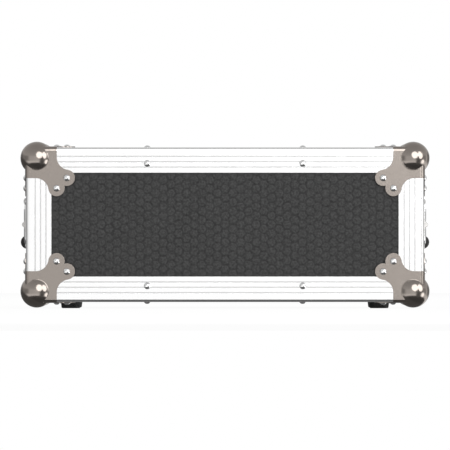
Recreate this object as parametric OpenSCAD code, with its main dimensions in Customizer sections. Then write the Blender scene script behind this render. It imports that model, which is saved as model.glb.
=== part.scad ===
/* [Rack bay] */
// Height of the bay in rack units
rack_units = 4; // [4:1:10]
// Room beside the rack panels, both sides together
bay_side_gap = 11; // [9:0.5:16]
// Room above the rack panels
bay_head_gap = 2.8; // [2.6:0.1:6]
// Depth of the front faces of the rack rails behind the joint line
rail_setback = 22; // [18:1:40]

/* [Case] */
// Depth of the body between its two joint lines
body_d = 380; // [370:5:600]
// Depth of each cover
cover_d = 70; // [68:1:100]
// Thickness of the plywood boards
board_t = 7; // [6.8:0.1:8]
// Gap between the body and a cover along the joint line
joint_gap = 0.4; // [0.3:0.1:1]

/* [Edge angles] */
// Width of one leg of an edge angle
angle_leg = 32.7; // [30:0.1:34]
// Thickness of an angle at the floor of its channels
angle_t = 1.2; // [1:0.1:1.5]
// Height of the ribs above the channel floors
rib_h = 1; // [0.6:0.1:1.4]
// Outer radius of the bend
angle_r = 4.4; // [3.5:0.1:4.6]
// Distance of the first channel from the bend
channel_start = 11.1; // [9:0.1:11.5]
// Width of a channel
channel_w = 1.5; // [1.2:0.1:3]
// Distance from one channel to the next
channel_pitch = 6.9; // [6:0.1:7.2]
// Number of channels on each leg
channel_count = 3; // [1:1:3]

/* [Joint line frames] */
// Wall of the frame profile
frame_t = 1.2; // [1:0.1:1.2]
// Width of the outer flange
flange_w = 16; // [14:0.5:18]
// Width of the inner flange
inner_flange_w = 10; // [8:0.5:14]
// Length of the tongue
tongue_l = 5; // [4:0.1:5.2]
// Thickness of the tongue
tongue_t = 2; // [1.6:0.1:2.2]
// Running room on each face of the tongue
tongue_gap = 0.5; // [0.4:0.1:0.6]
// Depth of the grooved block on a cover
groove_block = 7.2; // [7:0.1:8]

/* [Ball corners] */
// Radius of the ball
ball_r = 21.2; // [20.8:0.1:22]
// Distance of the ball's centre behind each face
ball_inset = 13.9; // [13:0.1:14.2]
// Thickness of the corner plate
plate_t = 1.2; // [0.8:0.1:1.5]
// Reach of a plate arm along an edge
arm_l = 39.7; // [38:0.1:41]
// Straight stretch at the end of an arm
arm_straight = 12.6; // [11:0.1:13]
// Far offset of a rivet lobe from the corner
lobe_far = 52.5; // [51:0.1:53]
// Near offset of a rivet lobe from the corner
lobe_near = 39.3; // [38:0.1:40]
// Radius of a rivet lobe
lobe_r = 10.5; // [10:0.1:11]

/* [Handles] */
// Length of the handle dish
handle_dish_l = 150; // [146:1:160]
// Height of the handle dish
handle_dish_h = 104; // [100:1:110]
// Length of the handle pocket
handle_pocket_l = 122; // [121:0.5:124]
// Height of the handle pocket
handle_pocket_h = 80; // [78:0.5:82]
// Depth of the handle pocket
handle_pocket_d = 17; // [15:0.5:18]
// Height of the handle's pivot above the middle of the case
handle_pivot_up = 30; // [29:0.1:31]
// Distance from the pivot to the grip
handle_reach = 52.6; // [50:0.1:54]
// Distance of the pivot outside the board
handle_pivot_out = 2; // [1.5:0.1:2.5]
// Radius of the grip
grip_r = 8.9; // [8:0.05:9]
// Radius of the steel core of the grip
grip_core_r = 4.8; // [4.4:0.1:5]

/* [Latches] */
// Distance of the latch axis behind the joint line
latch_back = 52; // [52:0.5:54]
// Length of the latch dish
latch_dish_l = 84; // [83.5:0.5:88]
// Height of the latch dish
latch_dish_h = 70; // [66:1:76]
// Radius of the round pocket
latch_pocket_r = 28; // [28:0.1:29]
// Throw of the eccentric
throw = 6; // [5.8:0.1:6]
// Radius of a wing
wing_r = 24.5; // [23:0.1:25]
// Height of the wing pin outside the board
wing_pin_out = 5; // [4.8:0.1:5.5]
// Distance of the hook's pivot behind the joint line at rest
hook_back = 22; // [21.5:0.1:22.5]
// Width of the hook
hook_w = 18; // [16:0.1:18.4]
// Distance of the keeper's top edge in front of the joint line
keeper_out = 18; // [17.5:0.1:18.5]
// Slope of the keeper and the claw away from square
claw_lean = 30; // [26:1:32]

/* [Feet] */
// Height of a foot below the case
foot_drop = 8.4; // [8:0.1:12]
// Radius of a foot at the case
foot_top_r = 13.5; // [12.5:0.1:15]
// Radius of a foot at the ground
foot_base_r = 12.25; // [11:0.1:12.5]
// Distance of a foot from the side of the case
foot_side_in = 57; // [54:1:106]
// Distance of a foot from the end of the body
foot_end = 60; // [40:1:100]

/* [Hidden] */
$fn = 64;

// Ends of the case along Y and sides along X
FRONT = -1;
REAR = 1;
LEFT = -1;
RIGHT = 1;

// Standard rack sizes
rack_step_h = 44.45;
rack_panel_w = 482.6;
rack_hole_in = 8.75;
rack_edge_in = 16.1;
rack_hole_shares = [1 / 7, 1 / 2, 6 / 7];
rack_hole_w = rack_panel_w - 2 * rack_hole_in;
rack_clear_w = rack_panel_w - 2 * rack_edge_in;

// Sizes of the whole case, worked out from the bay outwards
proud = angle_t + rib_h;
bay_w = rack_panel_w + bay_side_gap;
bay_h = rack_units * rack_step_h + bay_head_gap;
surf_w = bay_w + 2 * board_t;
surf_h = bay_h + 2 * board_t;
case_w = surf_w + 2 * proud;
case_h = surf_h + 2 * proud;
mid_z = foot_drop + case_h / 2;
split_y = body_d / 2;
end_y = split_y + cover_d;
half_gap = joint_gap / 2;
overrun = 1;
seam = 0.2;
pocket_gap = 0.2;

// Joint line frames
frame_start = split_y - half_gap;
web_back = frame_start - frame_t;
tongue_mid = -board_t / 2;
notch_gap = 0.3;
groove_extra = 0.6;
line_in = 5;
line_w = 1.5;
line_d = 0.5;

// Corner clamps over the ends of the body's edge angles
clamp_t = 1.2;
clamp_leg = 36;
clamp_l = 46;
clamp_start = 1.5;
clamp_bite_r = 9;
clamp_rivet_in = 22;
clamp_rivet_gap = 26;

// Rivets
rivet_r = 4.4;
rivet_h = 2.6;
rivet_hole_r = 1.3;
rivet_hole_d = 0.6;
edge_rivet_side = 100;
edge_rivet_in = 20.8;
body_rivet_count = 3;
body_rivet_end = 76;

// Ball corners: how far from its point each corner of the angles under a ball is cut off
tip_leg = 3 * proud - seam;

// Rack rails
rail_t = 2;
rail_face_t = 2.5;
rail_depth = 26;
rail_lip = 9;
rail_end_gap = 0.3;
rail_hole_r = 2.5;
screw_head_r = 4.5;
screw_head_h = 2.2;
screw_dome_r = 6;
rail_screw_share = 0.38;

// Feet and their screws
foot_h = foot_drop + proud;
foot_recess_r = 5.5;
foot_recess_d = 5;
foot_screw_r = 2.2;
foot_screw_gap = 0.1;
foot_head_r = 4.4;
foot_head_h = 2.6;
foot_slot_w = 1;
foot_edge = 1;

// Handle details
handle_dish_t = 1.2;
handle_corner_r = 12;
handle_pocket_corner_r = 9;
handle_pin_r = 2.5;
handle_pin_l = 120;
pin_gap = 0.05;
lug_t = 3;
lug_r = 4.6;
lug_root_in = handle_pocket_d - handle_dish_t / 2;
arm_gap = 2;
bail_eye_r = 5.4;
bail_eye_w = 6;
bail_flat_l = 14;
bail_flat_t = 8;
bail_bend_r = 7.2;
spring_wire_r = 0.8;
spring_r = 3.6;
spring_turns = 12;
spring_steps = 12;
spring_sides = 6;
spring_pitch = 2.6;
handle_rivet_in = 7;
handle_bead_in = 2.5;
bead_w = 2;
bead_h = 0.7;
grip_edge = 1.5;
grip_gap = 0.2;
groove_count = 9;
groove_pitch = 8;
groove_w = 2.6;
groove_d = 0.9;

// Latch stack, measured outwards from the floor of the dish
dish_t = 1.2;
dish_corner_r = 8;
dish_front = half_gap + frame_t + notch_gap;
dish_rivet_in = 7;
dish_bead_in = 1;
floor_out = -board_t + dish_t;
stack_gap = 0.3;
link_t = 2;
link_out = floor_out + stack_gap;
hub_disc_out = link_out + link_t + stack_gap;
hub_disc_t = 1.5;
hub_disc_r = 15;
hub_top_out = hub_disc_out + hub_disc_t;
spigot_r = 3;
eccentric_r = 8;
ear_r = 3.4;
ear_t = 2;
wing_pin_r = 1.6;
wing_pin_l = 25;
knuckle_gap = 0.3;
wing_t = 1.5;
wing_out = 0.4;
wing_start = 7.5;
wing_bead_r = 18.5;
wing_bead_h = 0.6;
finger_r = 7;
finger_out = 3.5;
wing_knuckle_share = 0.42;

// The linear drive and the eccentric drift apart by this share of the throw
drift_share = 0.2106;
yoke_gap = 0.35;
yoke_wall = 3.5;
yoke_side = 3.6;
link_neck = 11.3;
hook_ear_t = 2;
hook_side_gap = 0.3;
hook_pin_r = 1.5;
hook_eye_r = 2.7;
hook_pivot_out = link_out + link_t + stack_gap + hook_eye_r;
hook_t = 1.8;
hook_clear = 0.5;
hook_out = angle_t + hook_clear;
hook_rise = 8;
claw_gap = 0.3;
claw_t = 2.4;
claw_tip_out = floor_out + 2;
keeper_top_out = 0.9;
keeper_t = 4.5;
channel_half = 13;
channel_end = 3.2;
keeper_plate_in = groove_block + half_gap + notch_gap;
keeper_plate_l = 27;
keeper_pocket_in = keeper_plate_in + dish_t;
keeper_pocket_l = 22;
keeper_corner_r = 4;

// Placement
module at_latch(end, side) {
    translate([side * surf_w / 2, end * split_y, mid_z])
        mirror([side < 0 ? 1 : 0, 0, 0])
            mirror([0, end < 0 ? 1 : 0, 0])
                children();
}

module at_side(side) {
    translate([side * surf_w / 2, 0, mid_z])
        mirror([side < 0 ? 1 : 0, 0, 0])
            children();
}

module at_end(end) {
    mirror([0, end < 0 ? 1 : 0, 0])
        children();
}

// The corner edge at the left and below is the pattern for all four
module at_edge(side, up) {
    translate([side * case_w / 2, 0, mid_z + up * case_h / 2])
        mirror([side > 0 ? 1 : 0, 0, 0])
            mirror([0, 0, up > 0 ? 1 : 0])
                children();
}

// Extrusions that keep the outline's axes: along X from (Y, Z), and along Y from (X, Z)
module along_x(x0, x1) {
    translate([x0, 0, 0])
        rotate([90, 0, 90])
            linear_extrude(height = x1 - x0)
                children();
}

module along_y(y0, y1) {
    translate([0, y1, 0])
        rotate([90, 0, 0])
            linear_extrude(height = y1 - y0)
                children();
}

// Plain outlines
module rounded_plate(l, h, r) {
    square([l - 2 * r, h], center = true);
    square([l, h - 2 * r], center = true);
    for (a = [-1, 1], b = [-1, 1])
        translate([a * (l / 2 - r), b * (h / 2 - r)])
            circle(r);
}

// A square whose rounded corner lies at the origin
module bend_outline(leg, r) {
    translate([r, r])
        circle(r);
    translate([r, 0])
        square([leg - r, leg]);
    translate([0, r])
        square([leg, leg - r]);
}

module angle_section() {
    difference() {
        bend_outline(angle_leg, angle_r);
        translate([proud, proud])
            square([angle_leg, angle_leg]);
        for (i = [0 : channel_count - 1]) {
            translate([channel_start + i * channel_pitch, -overrun])
                square([channel_w, rib_h + overrun]);
            translate([-overrun, channel_start + i * channel_pitch])
                square([rib_h + overrun, channel_w]);
        }
    }
}

// A rectangular ring that follows the case at offsets n0 to n1 from the boards' outer faces
module ring(n0, n1, y0, y1) {
    along_y(y0, y1)
        difference() {
            square([surf_w + 2 * n1, surf_h + 2 * n1], center = true);
            square([surf_w + 2 * n0, surf_h + 2 * n0], center = true);
        }
}

// A domed head that stands on the XY plane, with the hole its mandrel leaves
module rivet() {
    dome_r = (rivet_r * rivet_r + rivet_h * rivet_h) / (2 * rivet_h);
    difference() {
        intersection() {
            translate([0, 0, rivet_h - dome_r])
                sphere(dome_r);
            cylinder(r = rivet_r + overrun, h = rivet_h + overrun);
        }
        translate([0, 0, rivet_h - rivet_hole_d])
            cylinder(r = rivet_hole_r, h = rivet_hole_d + overrun);
    }
}

// Openings that the recessed dishes need in a side board, in (Y, Z)
module latch_pocket_outline(grow) {
    translate([-latch_back, 0])
        circle(latch_pocket_r + grow);
    translate([-latch_back, -channel_half - grow])
        square([latch_back - channel_end + grow, 2 * (channel_half + grow)]);
}

module keeper_pocket_outline(grow) {
    translate([keeper_pocket_in - grow, -channel_half - grow])
        square([keeper_pocket_l + 2 * grow, 2 * (channel_half + grow)]);
}

module handle_pocket_outline(grow) {
    rounded_plate(
        handle_pocket_l + 2 * grow,
        handle_pocket_h + 2 * grow,
        handle_pocket_corner_r + grow
    );
}

// Body boards
module flat_board(up) {
    color("#3b3b3d")
        translate([0, 0, mid_z + up * (bay_h + board_t) / 2])
            cube([surf_w, 2 * web_back, board_t], center = true);
}

module side_board(side) {
    color("#3b3b3d")
        difference() {
            translate([side * (bay_w + board_t) / 2, 0, mid_z])
                cube([board_t, 2 * web_back, bay_h], center = true);
            at_side(side)
                along_x(-board_t - overrun, overrun)
                    handle_pocket_outline(handle_dish_t + pocket_gap);
            for (end = [FRONT, REAR])
                at_latch(end, side)
                    along_x(-board_t - overrun, overrun)
                        latch_pocket_outline(dish_t + pocket_gap);
        }
}

// Ribbed angles along the four long edges of the body
module body_edge_angles() {
    color("#e9eaeb")
        for (side = [LEFT, RIGHT], up = [-1, 1])
            at_edge(side, up)
                along_y(-split_y + flange_w + seam, split_y - flange_w - seam)
                    angle_section();
}

// The room that a latch part needs in the outer flange of a frame
module flange_notch(depth) {
    for (side = [LEFT, RIGHT])
        at_latch(REAR, side)
            translate([0, depth, -latch_dish_h / 2 - notch_gap])
                cube([angle_t + overrun, flange_w + overrun, latch_dish_h + 2 * notch_gap]);
}

// A shallow line pressed all round the outer flange of a frame
module flange_line(start) {
    translate([0, 0, mid_z])
        ring(angle_t - line_d, angle_t + overrun, start, start + line_w);
}

module tongue_frame(end) {
    color("#d9dadb")
        at_end(end)
            difference() {
                translate([0, 0, mid_z]) {
                    ring(-board_t - frame_t, angle_t, web_back, frame_start);
                    ring(0, angle_t, split_y - flange_w, web_back);
                    ring(-board_t - frame_t, -board_t, split_y - inner_flange_w, web_back);
                    ring(
                        tongue_mid - tongue_t / 2,
                        tongue_mid + tongue_t / 2,
                        frame_start,
                        frame_start + tongue_l
                    );
                }
                flange_notch(-flange_w - overrun - half_gap - frame_t);
                flange_line(split_y - flange_w + line_in);
            }
}

module groove_frame(end) {
    groove_half = tongue_t / 2 + tongue_gap;
    block_end = split_y + groove_block;
    color("#d9dadb")
        at_end(end)
            difference() {
                translate([0, 0, mid_z]) {
                    ring(-board_t, angle_t, split_y + half_gap, block_end);
                    ring(0, angle_t, block_end, split_y + flange_w);
                    ring(-board_t - frame_t, -board_t, split_y + half_gap, split_y + inner_flange_w);
                }
                translate([0, 0, mid_z])
                    ring(
                        tongue_mid - groove_half,
                        tongue_mid + groove_half,
                        split_y,
                        frame_start + tongue_l + groove_extra
                    );
                flange_notch(groove_block);
                flange_line(split_y + flange_w - line_in - line_w);
            }
}

// Bent clamps that hold the ends of the body's edge angles
module corner_clamps() {
    color("#c9c7c4")
        for (side = [LEFT, RIGHT], up = [-1, 1], end = [FRONT, REAR])
            at_end(end)
                at_edge(side, up)
                    translate([-clamp_t, 0, -clamp_t])
                        difference() {
                            along_y(split_y - clamp_start - clamp_l, split_y - clamp_start)
                                difference() {
                                    bend_outline(clamp_leg, angle_r + clamp_t);
                                    translate([clamp_t, clamp_t])
                                        bend_outline(clamp_leg, angle_r);
                                }
                            translate([clamp_leg, split_y - clamp_start - clamp_l, -overrun])
                                cylinder(r = clamp_bite_r, h = clamp_t + 2 * overrun);
                            translate([-overrun, split_y - clamp_start - clamp_l, clamp_leg])
                                rotate([0, 90, 0])
                                    cylinder(r = clamp_bite_r, h = clamp_t + 2 * overrun);
                        }
}

// Rivets on the body: two on each leg of a clamp, and a row along each angle
module rivet_pair(at, out) {
    translate([at, 0, -out])
        rotate([180, 0, 0])
            rivet();
    translate([-out, 0, at])
        rotate([0, -90, 0])
            rivet();
}

module body_rivets() {
    clamp_first = split_y - clamp_start - (clamp_l - clamp_rivet_gap) / 2;
    row_end = split_y - body_rivet_end;
    color("#f1f1f1")
        for (side = [LEFT, RIGHT], up = [-1, 1])
            at_edge(side, up) {
                for (end = [FRONT, REAR], k = [0, 1])
                    translate([0, end * (clamp_first - k * clamp_rivet_gap), 0])
                        rivet_pair(clamp_rivet_in, clamp_t);
                for (i = [0 : body_rivet_count - 1])
                    translate([0, row_end * (2 * i / (body_rivet_count - 1) - 1), 0])
                        rivet_pair(edge_rivet_in, 0);
            }
    color("#f1f1f1")
        for (side = [LEFT, RIGHT], up = [-1, 1]) {
            for (end = [FRONT, REAR], u = [latch_dish_l - dish_rivet_in, dish_front + dish_rivet_in])
                at_latch(end, side)
                    translate([dish_t, -u, up * (latch_dish_h / 2 - dish_rivet_in)])
                        rotate([0, 90, 0])
                            rivet();
            for (end = [-1, 1])
                at_side(side)
                    translate([
                        handle_dish_t,
                        end * (handle_dish_l / 2 - handle_rivet_in),
                        up * (handle_dish_h / 2 - handle_rivet_in)
                    ])
                        rotate([0, 90, 0])
                            rivet();
        }
}

// Rack rails: a drilled face, a flange along the side board and a stiffening lip
module rack_rail(end, side) {
    rail_w = (bay_w - rack_clear_w) / 2;
    face_y = split_y - rail_setback;
    color("#4a4b4e")
        at_end(end)
            translate([0, 0, mid_z])
                mirror([side < 0 ? 1 : 0, 0, 0])
                    difference() {
                        translate([0, 0, -bay_h / 2 + rail_end_gap])
                            linear_extrude(height = bay_h - 2 * rail_end_gap) {
                                translate([rack_clear_w / 2, face_y - rail_face_t])
                                    square([rail_w, rail_face_t]);
                                translate([bay_w / 2 - rail_t, face_y - rail_depth])
                                    square([rail_t, rail_depth]);
                                translate([rack_clear_w / 2, face_y - rail_lip])
                                    square([rail_t, rail_lip]);
                            }
                        for (u = [0 : rack_units - 1], share = rack_hole_shares)
                            translate([
                                rack_hole_w / 2,
                                face_y + overrun,
                                (u - rack_units / 2 + share) * rack_step_h
                            ])
                                rotate([90, 0, 0])
                                    cylinder(r = rail_hole_r, h = rail_face_t + 2 * overrun);
                    }
}

module rail_screws() {
    color("#8e8f92")
        for (end = [FRONT, REAR], side = [LEFT, RIGHT], up = [-1, 0, 1])
            at_end(end)
                translate([
                    side * (bay_w / 2 - rail_t),
                    split_y - rail_setback - (rail_depth + rail_face_t) / 2,
                    mid_z + up * bay_h * rail_screw_share
                ])
                    rotate([0, -side * 90, 0])
                        intersection() {
                            cylinder(r = screw_head_r, h = screw_head_h);
                            translate([0, 0, screw_head_h - screw_dome_r])
                                sphere(screw_dome_r);
                        }
}

// Rubber feet, recessed for their screws
module at_feet() {
    for (side = [LEFT, RIGHT], end = [FRONT, REAR])
        translate([side * (case_w / 2 - foot_side_in), end * (split_y - foot_end), 0])
            children();
}

module rubber_feet() {
    color("#1d1d1e")
        at_feet()
            difference() {
                rotate_extrude()
                    polygon([
                        [0, 0],
                        [foot_base_r - foot_edge, 0],
                        [foot_base_r, foot_edge],
                        [foot_top_r, foot_h],
                        [0, foot_h]
                    ]);
                translate([0, 0, -overrun])
                    cylinder(r = foot_recess_r, h = foot_recess_d + overrun);
                cylinder(r = foot_screw_r + foot_screw_gap, h = foot_h + overrun);
            }
}

module foot_screws() {
    color("#9b9b9d")
        at_feet()
            difference() {
                union() {
                    translate([0, 0, foot_recess_d - foot_head_h])
                        cylinder(r = foot_head_r, h = foot_head_h);
                    translate([0, 0, foot_recess_d])
                        cylinder(r = foot_screw_r, h = foot_h - foot_recess_d);
                }
                for (turn = [0, 90])
                    translate([0, 0, foot_recess_d - foot_head_h])
                        rotate([0, 0, turn])
                            cube([foot_head_r, foot_slot_w, foot_slot_w * 2], center = true);
            }
}

// Side handles: a pressed dish with two lugs, a pin, a sprung bail and its grip
module handle_dish(side) {
    lug_mid = (handle_pin_l - lug_t) / 2;
    color("#bdbbb8")
        at_side(side) {
            difference() {
                union() {
                    along_x(0, handle_dish_t)
                        rounded_plate(handle_dish_l, handle_dish_h, handle_corner_r);
                    along_x(-handle_pocket_d, handle_dish_t)
                        handle_pocket_outline(handle_dish_t);
                    along_x(0, handle_dish_t + bead_h)
                        difference() {
                            handle_pocket_outline(handle_bead_in + bead_w);
                            handle_pocket_outline(handle_bead_in);
                        }
                }
                along_x(-handle_pocket_d + handle_dish_t, handle_dish_t + overrun)
                    handle_pocket_outline(0);
            }
            for (end = [-1, 1])
                translate([0, end * lug_mid, handle_pivot_up])
                    along_y(-lug_t / 2, lug_t / 2)
                        difference() {
                            union() {
                                translate([handle_pivot_out, 0])
                                    circle(lug_r);
                                translate([-lug_root_in, -lug_r])
                                    square([lug_root_in + handle_pivot_out, 2 * lug_r]);
                            }
                            translate([handle_pivot_out, 0])
                                circle(handle_pin_r + pin_gap);
                        }
        }
}

module handle_pins() {
    color("#a7a7a9")
        for (side = [LEFT, RIGHT])
            at_side(side)
                translate([handle_pivot_out, 0, handle_pivot_up])
                    rotate([90, 0, 0])
                        cylinder(r = handle_pin_r, h = handle_pin_l, center = true);
}

// A tube swept along a helix about Y, from evenly spaced rings of a few corners
function coil_point(i, k) =
    let (
        turn = 360 * i / spring_steps,
        around = 360 * k / spring_sides,
        r = spring_r + spring_wire_r * cos(around),
        along = spring_pitch * (i / spring_steps - spring_turns / 2) + spring_wire_r * sin(around)
    )
    [r * cos(turn), along, r * sin(turn)];

module coil() {
    rings = spring_turns * spring_steps;
    points = [for (i = [0 : rings], k = [0 : spring_sides - 1]) coil_point(i, k)];
    walls = [
        for (i = [0 : rings - 1], k = [0 : spring_sides - 1])
            let (
                a = i * spring_sides + k,
                b = i * spring_sides + (k + 1) % spring_sides
            )
            each [[a, b, b + spring_sides], [a, b + spring_sides, a + spring_sides]]
    ];
    first = [for (k = [spring_sides - 1 : -1 : 0]) k];
    last = [for (k = [0 : spring_sides - 1]) rings * spring_sides + k];
    polyhedron(points, concat(walls, [first, last]));
}

module handle_springs() {
    color("#8d8d90")
        for (side = [LEFT, RIGHT])
            at_side(side)
                translate([handle_pivot_out, 0, handle_pivot_up])
                    coil();
}

// Middle of each arm of a bail, and half the straight stretch that holds the grip
arm_mid = handle_pin_l / 2 - lug_t - arm_gap - grip_core_r;
grip_half = arm_mid - bail_bend_r;

// One bent rod with its ends flattened into eyes
module handle_bail(side) {
    color("#c2c0bd")
        at_side(side)
            translate([handle_pivot_out, 0, handle_pivot_up])
                difference() {
                    union() {
                        for (end = [-1, 1])
                            mirror([0, end < 0 ? 1 : 0, 0])
                                bail_arm();
                        translate([0, 0, -handle_reach])
                            rotate([90, 0, 0])
                                cylinder(r = grip_core_r, h = 2 * grip_half, center = true);
                    }
                    rotate([90, 0, 0])
                        cylinder(r = handle_pin_r + pin_gap, h = handle_pin_l, center = true);
                }
}

module bail_arm() {
    translate([0, arm_mid, 0]) {
        along_y(-bail_eye_w / 2, bail_eye_w / 2) {
            circle(bail_eye_r);
            translate([-bail_flat_t / 2, -bail_flat_l])
                square([bail_flat_t, bail_flat_l]);
        }
        translate([0, 0, -handle_reach + bail_bend_r])
            cylinder(r = grip_core_r, h = handle_reach - bail_bend_r - bail_flat_l + bail_flat_t / 2);
    }
    translate([0, grip_half, -handle_reach + bail_bend_r])
        rotate([90, 0, 90])
            rotate([0, 0, -90])
                rotate_extrude(angle = 90)
                    translate([bail_bend_r, 0])
                        circle(grip_core_r);
}

// A sleeve with a row of finger grooves
module handle_grip(side) {
    half = grip_half - grip_gap;
    bore_r = grip_core_r + pin_gap;
    grooves = [
        for (i = [0 : groove_count - 1])
            let (mid = (i - (groove_count - 1) / 2) * groove_pitch)
            each [[grip_r, mid - groove_w / 2], [grip_r - groove_d, mid], [grip_r, mid + groove_w / 2]]
    ];
    color("#161616")
        at_side(side)
            translate([handle_pivot_out, 0, handle_pivot_up - handle_reach])
                rotate([90, 0, 0])
                    rotate_extrude()
                        polygon(concat(
                            [[bore_r, -half], [grip_r - grip_edge, -half], [grip_r, -half + grip_edge]],
                            grooves,
                            [[grip_r, half - grip_edge], [grip_r - grip_edge, half], [bore_r, half]]
                        ));
}

// Covers: panel, boards, angles, groove frame, ball corners, rivets and keepers
module cover_panel(end) {
    color("#3b3b3d")
        at_end(end)
            translate([-surf_w / 2, end_y - proud - board_t, mid_z - surf_h / 2])
                cube([surf_w, board_t, surf_h]);
}

module cover_boards(end) {
    start = split_y + groove_block;
    depth = end_y - proud - board_t - start;
    color("#3b3b3d")
        at_end(end) {
            for (up = [-1, 1])
                translate([0, start + depth / 2, mid_z + up * (bay_h + board_t) / 2])
                    cube([surf_w, depth, board_t], center = true);
            difference() {
                for (side = [LEFT, RIGHT])
                    translate([side * (bay_w + board_t) / 2, start + depth / 2, mid_z])
                        cube([board_t, depth, bay_h - 2 * seam], center = true);
                for (side = [LEFT, RIGHT])
                    at_latch(REAR, side)
                        along_x(-board_t - overrun, overrun)
                            keeper_pocket_outline(dish_t + pocket_gap);
            }
        }
}

// The tip of a corner at the origin, off to a sloping plane that meets each edge at a distance
module corner_tip(leg) {
    reach = leg + 3 * overrun;
    translate([-overrun, -overrun, -overrun])
        polyhedron(
            points = [[0, 0, 0], [reach, 0, 0], [0, reach, 0], [0, 0, reach]],
            faces = [[0, 1, 2], [0, 3, 1], [0, 2, 3], [1, 3, 2]]
        );
}

module cover_angles(end) {
    color("#e9eaeb")
        at_end(end) {
            difference() {
                end_frame();
                at_cover_corners()
                    corner_tip(tip_leg + seam);
            }
            for (side = [LEFT, RIGHT], up = [-1, 1])
                at_edge(side, up)
                    along_y(split_y + flange_w + seam, end_y - angle_leg - seam)
                        angle_section();
        }
}

// The four mitred angles round a cover's face
module end_frame() {
    cut = angle_leg + overrun;
    half_w = case_w / 2;
    half_h = case_h / 2;
    for (up = [-1, 1])
        translate([0, 0, mid_z])
            mirror([0, 0, up > 0 ? 0 : 1])
                intersection() {
                    translate([0, end_y, half_h])
                        mirror([0, 1, 0])
                            mirror([0, 0, 1])
                                along_x(-half_w, half_w)
                                    angle_section();
                    along_y(end_y - cut, end_y + overrun)
                        intersection() {
                            rounded_plate(case_w, case_h, angle_r + seam);
                            polygon([
                                [-half_w + seam, half_h],
                                [half_w - seam, half_h],
                                [half_w - seam - cut, half_h - cut],
                                [-half_w + seam + cut, half_h - cut]
                            ]);
                        }
                }
    for (side = [LEFT, RIGHT])
        translate([0, 0, mid_z])
            mirror([side > 0 ? 0 : 1, 0, 0])
                intersection() {
                    translate([half_w, end_y, -half_h])
                        mirror([1, 0, 0])
                            mirror([0, 1, 0])
                                linear_extrude(height = case_h)
                                    angle_section();
                    along_y(end_y - cut, end_y + overrun)
                        intersection() {
                            rounded_plate(case_w, case_h, angle_r + seam);
                            polygon([
                                [half_w, half_h - seam],
                                [half_w, -half_h + seam],
                                [half_w - cut, -half_h + seam + cut],
                                [half_w - cut, half_h - seam - cut]
                            ]);
                        }
                }
}

// Turns a shape so that X, Y and Z take each other's places in turn
module cycled(times) {
    if (times == 0)
        children();
    else
        rotate([90, 0, 90])
            cycled(times - 1)
                children();
}

module plate_outline() {
    near_gap = arm_l - lobe_far;
    far_gap = arm_straight - lobe_near;
    hollow_r = (near_gap * near_gap + far_gap * far_gap - lobe_r * lobe_r) / (2 * (lobe_r - near_gap));
    hollow = [arm_l + hollow_r, arm_straight];
    lobe = [lobe_far, lobe_near];
    touch = hollow + (lobe - hollow) * hollow_r / (hollow_r + lobe_r);
    difference() {
        polygon([
            [angle_r, angle_r],
            [arm_l, angle_r],
            [arm_l, arm_straight],
            touch,
            lobe,
            [lobe_near, lobe_far],
            [touch[1], touch[0]],
            [arm_straight, arm_l],
            [angle_r, arm_l]
        ]);
        translate(hollow)
            circle(hollow_r);
        translate([hollow[1], hollow[0]])
            circle(hollow_r);
    }
    translate(lobe)
        circle(lobe_r);
    translate([lobe_near, lobe_far])
        circle(lobe_r);
}

// One corner, its point at the origin and its three plates along the planes inwards
module ball_corner() {
    inside = ball_r + ball_inset + overrun;
    bend_start = angle_r + plate_t;
    difference() {
        translate([ball_inset, ball_inset, ball_inset])
            sphere(ball_r);
        difference() {
            cube([inside, inside, inside]);
            corner_tip(tip_leg);
        }
    }
    for (times = [0 : 2])
        cycled(times) {
            translate([0, 0, -plate_t])
                linear_extrude(height = plate_t)
                    plate_outline();
            translate([0, 0, bend_start])
                linear_extrude(height = arm_l - bend_start)
                    intersection() {
                        difference() {
                            translate([angle_r, angle_r])
                                circle(angle_r + plate_t);
                            translate([angle_r, angle_r])
                                circle(angle_r);
                        }
                        translate([-plate_t, -plate_t])
                            square([angle_r + plate_t, angle_r + plate_t]);
                    }
        }
}

module at_cover_corners() {
    for (side = [LEFT, RIGHT], up = [-1, 1])
        at_edge(side, up)
            translate([0, end_y, 0])
                mirror([0, 1, 0])
                    children();
}

module ball_corners(end) {
    color("#9d948d")
        at_end(end)
            at_cover_corners()
                ball_corner();
}

module cover_rivets(end) {
    color("#f1f1f1")
        at_end(end) {
            at_cover_corners()
                for (times = [0 : 2])
                    cycled(times)
                        for (spot = [[lobe_far, lobe_near], [lobe_near, lobe_far]])
                            translate([spot[0], spot[1], -plate_t])
                                rotate([180, 0, 0])
                                    rivet();
            for (x = [-edge_rivet_side, edge_rivet_side], up = [-1, 1]) {
                translate([x, end_y, mid_z + up * (case_h / 2 - edge_rivet_in)])
                    rotate([-90, 0, 0])
                        rivet();
                translate([x, end_y - edge_rivet_in, mid_z + up * case_h / 2])
                    rotate([up > 0 ? 0 : 180, 0, 0])
                        rivet();
            }
            for (side = [LEFT, RIGHT], up = [-1, 1])
                at_latch(REAR, side)
                    translate([
                        dish_t,
                        keeper_plate_in + keeper_plate_l / 2,
                        up * (latch_dish_h / 2 - dish_rivet_in)
                    ])
                        rotate([0, 90, 0])
                            rivet();
        }
}

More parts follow.
